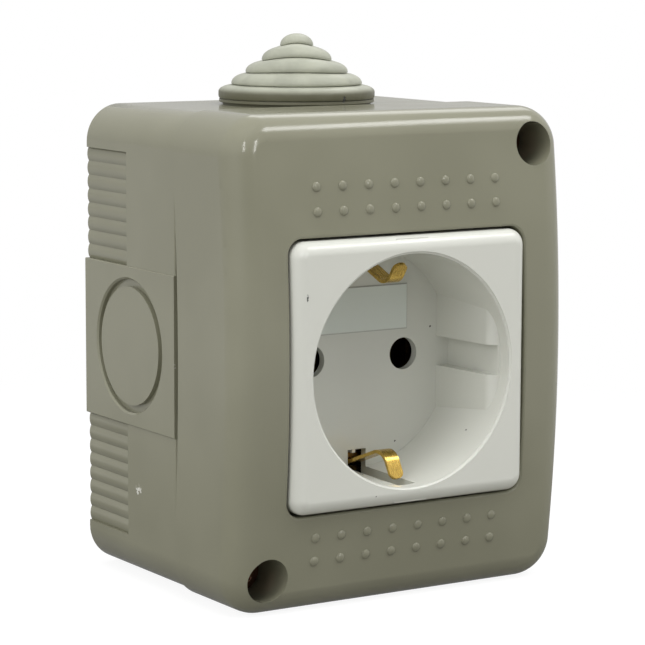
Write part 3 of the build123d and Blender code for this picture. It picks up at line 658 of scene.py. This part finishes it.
class SOCKET_OT_grommet(bpy.types.Operator):
    """Soft stepped cable grommet"""

    bl_idname = "socket.grommet"
    bl_label = "Cable grommet"

    def execute(self, context):
        low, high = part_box("cable_grommet")
        centre_y = (low.y + high.y) / 2
        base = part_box("back_box")[1].z
        mesh = bmesh.new()
        outline = grommet_outline()
        verts = [mesh.verts.new((radius * MM, 0, height * MM)) for radius, height in outline]
        turn_outline(mesh, verts, (0, 0, 1), GROMMET_TURN_STEPS)
        # The soft rings swell upwards at the front and at the back
        front = Vector(WAVE_DIRECTION)
        for vert in mesh.verts:
            reach = Vector((vert.co.x, vert.co.y))
            if reach.length > TIP_RADIUS:
                swell = sizes().ring_wave * wave_share(vert.co.z / MM)
                vert.co.z += swell * reach.normalized().dot(front) ** 2
        bmesh.ops.translate(mesh, verts=mesh.verts, vec=(0, centre_y, base))
        piece = piece_from_bmesh(
            "grommet_rubber", mesh, moulded_rubber(), HOUSING, ("cable_grommet",)
        )
        piece.data.shade_smooth()
        piece.data.set_sharp_from_angle(angle=radians(RUBBER_CREASE))
        return {"FINISHED"}


def wave_share(height):
    """How much of the ring wave a point takes, by its height in millimetres over the box."""
    for (low, low_share), (high, high_share) in zip(WAVE_SHARES, WAVE_SHARES[1:]):
        if low <= height <= high:
            return low_share + (high_share - low_share) * (height - low) / (high - low)
    return 0.0


def grommet_outline():
    """Half outline of the grommet, as radius and height over the box in millimetres."""
    # Hollow inside, inner lip, neck through the wall and flange
    outline = [
        (0, 10.9), (1.6, 10.9), (1.6, 8.6), (4.75, 8.6), (4.75, 6.1), (7.6, 6.1), (7.6, 4.0), (8.5, 4.0),
        (8.5, -3.4), (11.5, -3.4), (11.5, -2.0), (9.9, -2.0), (9.9, 0), (13.0, 0),
        (13.05, 0.35), (13.55, 0.4), (13.65, 0.5), (13.6, 0.95), (13.35, 1.0), (13.35, 1.08),
        (13.65, 1.15), (13.75, 1.5), (13.75, 2.2),
    ]
    # Outer and inner radius, lower and upper end of each round lip
    rings = (
        (13.75, 11.0, 2.2, 3.4), (11.5, 8.5, 3.65, 5.4), (9.0, 5.6, 5.7, 7.5),
        (6.15, 2.3, 7.8, 10.0), (2.92, 0.0, 10.3, 12.35),
    )
    for place, (radius, inner, low, high) in enumerate(rings):
        if place:
            foot = rings[place - 1][3]
            outline += [(radius - 0.5, foot + 0.03), (radius - 0.08, foot + 0.12)]
        for step in range(0 if place else 1, LIP_STEPS + 1):
            angle = pi / 2 * step / LIP_STEPS
            outline.append((inner + (radius - inner) * cos(angle), low + (high - low) * sin(angle)))
    outline[-1] = (0, outline[-1][1])
    return outline


class SOCKET_OT_module(bpy.types.Operator):
    """White module front, with the dull base behind it"""

    bl_idname = "socket.module"
    bl_label = "Socket module"

    def execute(self, context):
        white = moulded_polycarbonate()
        smooth_copy("socket_front", "module_front", white, HOUSING, WHITE_CREASE)
        finish_nodes(["socket_base"], moulded_nylon())
        return {"FINISHED"}


class SOCKET_OT_clips(bpy.types.Operator):
    """Sprung earth clips of bright brass"""

    bl_idname = "socket.clips"
    bl_label = "Earth clips"

    def execute(self, context):
        brass = rolled_metal("rolled_brass_clip", colours().clip_brass, 0.24, 0.25 * MM, (1.0, 0.12, 0.3))
        smooth_copy("earth_clip_top", "top_clip_strip", brass, "top_clip", METAL_CREASE)
        smooth_copy(
            "earth_clip_bottom", "bottom_clip_strip", brass, "bottom_clip", METAL_CREASE
        )
        return {"FINISHED"}


class SOCKET_OT_contacts(bpy.types.Operator):
    """Brass contacts and strap, zinc plated clamps"""

    bl_idname = "socket.contacts"
    bl_label = "Contacts and clamps"

    def execute(self, context):
        # Painted shade: the sheet brass is darkened so the pin holes look dark
        brass = rolled_metal("shaded_rolled_brass_sheet", colours().shaded_sheet_brass, 0.3, 0.3 * MM, (1.0, 1.0, 0.15))
        finish_nodes(["live_contact", "neutral_contact", "earth_strap"], brass)
        zinc = rolled_metal("zinc_plated_steel", colours().zinc, 0.34, 0.4 * MM, (1.0, 1.0, 1.0))
        clamps = ["live_clamp", "neutral_clamp", "earth_clamp"]
        screws = ["live_terminal_screw", "neutral_terminal_screw", "earth_terminal_screw"]
        finish_nodes(clamps + screws + ["module_screw_right", "module_screw_left"], zinc)
        return {"FINISHED"}


class SOCKET_OT_cover_screws(bpy.types.Operator):
    """Passivated cover screws at the bottom of their wells"""

    bl_idname = "socket.cover_screws"
    bl_label = "Cover screws"

    def execute(self, context):
        # The screw colour is lightened: painted light in the deep wells
        steel = rolled_metal(
            "lit_passivated_steel_screw", colours().lit_passivated, 0.2, 0.3 * MM, (1.0, 1.0, 1.0)
        )
        smooth_copy("cover_screw_top", "top_well_screw", steel, HOUSING, METAL_CREASE)
        smooth_copy("cover_screw_bottom", "bottom_well_screw", steel, HOUSING, METAL_CREASE)
        return {"FINISHED"}


def seen_directly(tree, path):
    """1 where the camera looks at a surface, straight or through something clear."""
    straight = path.outputs["Is Camera Ray"]
    through = path.outputs["Is Transmission Ray"]
    return add_node(tree, "ShaderNodeMath", {0: straight, 1: through}, operation="MAXIMUM").outputs[0]


def make_softbox(name, place, width, height, power, mirrored):
    """A soft rectangular lamp aimed at the object, mirrored in its gloss or not."""
    data = bpy.data.lights.new(name, "AREA")
    data.shape = "RECTANGLE"
    data.size = width
    data.size_y = height
    data.energy = power
    lamp = bpy.data.objects.new(name, data)
    lamp.location = place
    lamp.rotation_euler = (SOFTBOX_AIM - Vector(place)).to_track_quat("-Z", "Y").to_euler()
    lamp.visible_glossy = mirrored
    bpy.context.scene.collection.objects.link(lamp)
    return lamp


def make_camera(stage):
    """The camera, placed and turned as the photograph was taken."""
    aim = Vector(stage.camera_aim).normalized()
    side = aim.cross(Vector((0, 0, 1))).normalized()
    up = side.cross(aim)
    roll = stage.camera_roll
    right = side * cos(roll) + up * sin(roll)
    top = up * cos(roll) - side * sin(roll)
    turn = Matrix((right, top, -aim)).transposed()
    data = bpy.data.cameras.new("photo_camera")
    data.lens = stage.camera_lens
    data.sensor_width = 36.0
    data.clip_start = 0.01
    data.clip_end = 50.0
    camera = bpy.data.objects.new("photo_camera", data)
    camera.matrix_world = Matrix.Translation(Vector(stage.camera_place)) @ turn.to_4x4()
    bpy.context.scene.collection.objects.link(camera)
    bpy.context.scene.camera = camera


def studio_paper(level):
    """White background paper: it shows white, keeps a faint shadow and throws little light back."""
    material, tree, shader, place = start_material("studio_paper_white")
    tree.nodes.remove(shader)
    # Far from the object the paper is plain white, so that no horizon shows
    distance = add_node(tree, "ShaderNodeVectorMath", {0: place}, operation="LENGTH").outputs["Value"]
    far = spread(tree, distance, 0.0, 1.0, 0.07, 0.2)
    near_white = add_node(tree, "ShaderNodeEmission", {"Color": (1, 1, 1, 1), "Strength": 0.9})
    catcher = add_node(tree, "ShaderNodeBsdfDiffuse", {"Color": linear_rgba("6c6c6c")})
    near = add_node(tree, "ShaderNodeAddShader", {0: near_white.outputs[0], 1: catcher.outputs[0]})
    plain_white = add_node(tree, "ShaderNodeEmission", {"Color": (1, 1, 1, 1), "Strength": 1.0})
    shown = add_node(tree, "ShaderNodeMixShader", {0: far, 1: near.outputs[0], 2: plain_white.outputs[0]})
    bounced = add_node(tree, "ShaderNodeBsdfDiffuse", {"Color": linear_rgba("9a9994")})
    path = add_node(tree, "ShaderNodeLightPath")
    # In the gloss of the object the paper glows as bright as the tent, with a painted shadow where it lies
    # close by
    paper_gloss_with_shadow = spread(tree, distance, 0.35 * level, level, 0.06, 0.25)
    mirrored = add_node(tree, "ShaderNodeEmission", {"Color": (1, 1, 1, 1), "Strength": paper_gloss_with_shadow})
    unseen = add_node(tree, "ShaderNodeMixShader", {
        0: path.outputs["Is Glossy Ray"],
        1: bounced.outputs[0],
        2: mirrored.outputs[0],
    })
    both = add_node(tree, "ShaderNodeMixShader", {
        0: seen_directly(tree, path),
        1: unseen.outputs[0],
        2: shown.outputs[0],
    })
    output = next(node for node in tree.nodes if node.type == "OUTPUT_MATERIAL")
    tree.links.new(both.outputs[0], output.inputs["Surface"])
    return material


def make_floor(level):
    """A wide floor of background paper under the object."""
    mesh = bmesh.new()
    bmesh.ops.create_circle(mesh, cap_ends=True, segments=96, radius=4.0)
    lowest = cad_bounds[0][2]
    bmesh.ops.translate(mesh, verts=mesh.verts, vec=(0, 0, lowest - 0.02 * MM))
    data = bpy.data.meshes.new("studio_floor")
    mesh.to_mesh(data)
    mesh.free()
    data.materials.append(studio_paper(level))
    floor = bpy.data.objects.new("studio_floor", data)
    bpy.context.scene.collection.objects.link(floor)


def make_world(level):
    """An even photo tent, a little brighter overhead, white where the camera looks at it."""
    world = bpy.data.worlds.new("photo_tent")
    bpy.context.scene.world = world
    world.use_nodes = True
    tree = world.node_tree
    tree.nodes.clear()
    direction = add_node(tree, "ShaderNodeTexCoord").outputs["Generated"]
    axes = add_node(tree, "ShaderNodeSeparateXYZ", {0: direction})
    sky = spread(tree, axes.outputs["Z"], level, 1.25 * level, 0.0, 1.0)
    # The tent opens towards the camera, where it is darker
    opening = spread(tree, axes.outputs["Y"], 0.5, 1.0, -1.0, -0.5)
    backdrop = spread(tree, axes.outputs["Y"], 1.0, 0.82, 0.5, 0.85)
    tent = multiply(tree, sky, multiply(tree, opening, backdrop))
    path = add_node(tree, "ShaderNodeLightPath")
    strength = add_node(tree, "ShaderNodeMix", {0: seen_directly(tree, path), 2: tent, 3: 1.0})
    back = add_node(tree, "ShaderNodeBackground", {
        "Color": (1, 1, 1, 1),
        "Strength": strength.outputs[0],
    })
    add_node(tree, "ShaderNodeOutputWorld", {"Surface": back.outputs[0]})


class SOCKET_OT_stage(bpy.types.Operator):
    """Floor, photo tent, lamps and camera"""

    bl_idname = "socket.stage"
    bl_label = "Stage"

    def execute(self, context):
        stage = context.scene.socket_stage
        make_floor(stage.tent_level)
        make_world(stage.tent_level)
        make_softbox("back_strip", (0.53, 0.52, 0.67), 0.5, 0.3, stage.back_power, True)
        make_softbox("front_strip", (0.53, -0.39, 0.82), 0.5, 0.16, stage.front_power, True)
        for name, place in (("right_streak", (0.14, -0.95, 0.42)), ("left_streak", (-0.47, -0.78, 0.5))):
            streak = make_softbox(name, place, 0.06, 0.36, stage.streak_power, True)
            streak.visible_diffuse = False
        make_softbox("side_softbox", (-0.85, -0.35, 0.3), 0.7, 0.7, stage.side_power, False)
        make_softbox("right_softbox", (0.85, -0.45, 0.35), 0.6, 0.6, stage.right_power, False)
        make_softbox("top_softbox", (-0.15, -0.28, 0.88), 0.6, 0.5, stage.top_power, False)
        make_camera(stage)
        context.scene.view_settings.view_transform = "Standard"
        return {"FINISHED"}


class SOCKET_PT_panel(bpy.types.Panel):
    """Lists the pieces and the values that can be changed"""

    bl_label = "Socket"
    bl_idname = "SOCKET_PT_panel"
    bl_space_type = "VIEW_3D"
    bl_region_type = "UI"
    bl_category = "Socket"

    def draw(self, context):
        for group in (context.scene.socket_sizes, context.scene.socket_colours, context.scene.socket_stage):
            box = self.layout.box()
            for name in group.__annotations__:
                box.prop(group, name)
        for operator in OPERATORS:
            self.layout.operator(operator.bl_idname)


OPERATORS = (
    SOCKET_OT_back_box,
    SOCKET_OT_front_cover,
    SOCKET_OT_grommet,
    SOCKET_OT_module,
    SOCKET_OT_clips,
    SOCKET_OT_contacts,
    SOCKET_OT_cover_screws,
    SOCKET_OT_stage,
)
GROUPS = {
    "socket_colours": SocketColours,
    "socket_sizes": SocketSizes,
    "socket_stage": SocketStage,
}


def register():
    """Makes the value groups, the operators and the panel known to Blender."""
    for name, group in GROUPS.items():
        bpy.utils.register_class(group)
        setattr(bpy.types.Scene, name, bpy.props.PointerProperty(type=group))
    for operator in OPERATORS:
        bpy.utils.register_class(operator)
    bpy.utils.register_class(SOCKET_PT_panel)


def unregister():
    """Takes back what register did."""
    bpy.utils.unregister_class(SOCKET_PT_panel)
    for operator in reversed(OPERATORS):
        bpy.utils.unregister_class(operator)
    for name, group in GROUPS.items():
        delattr(bpy.types.Scene, name)
        bpy.utils.unregister_class(group)


def main():
    """Builds every piece and the stage."""
    register()
    for operator in OPERATORS:
        group, name = operator.bl_idname.split(".")
        getattr(getattr(bpy.ops, group), name)()


if __name__ == "__main__":
    main()
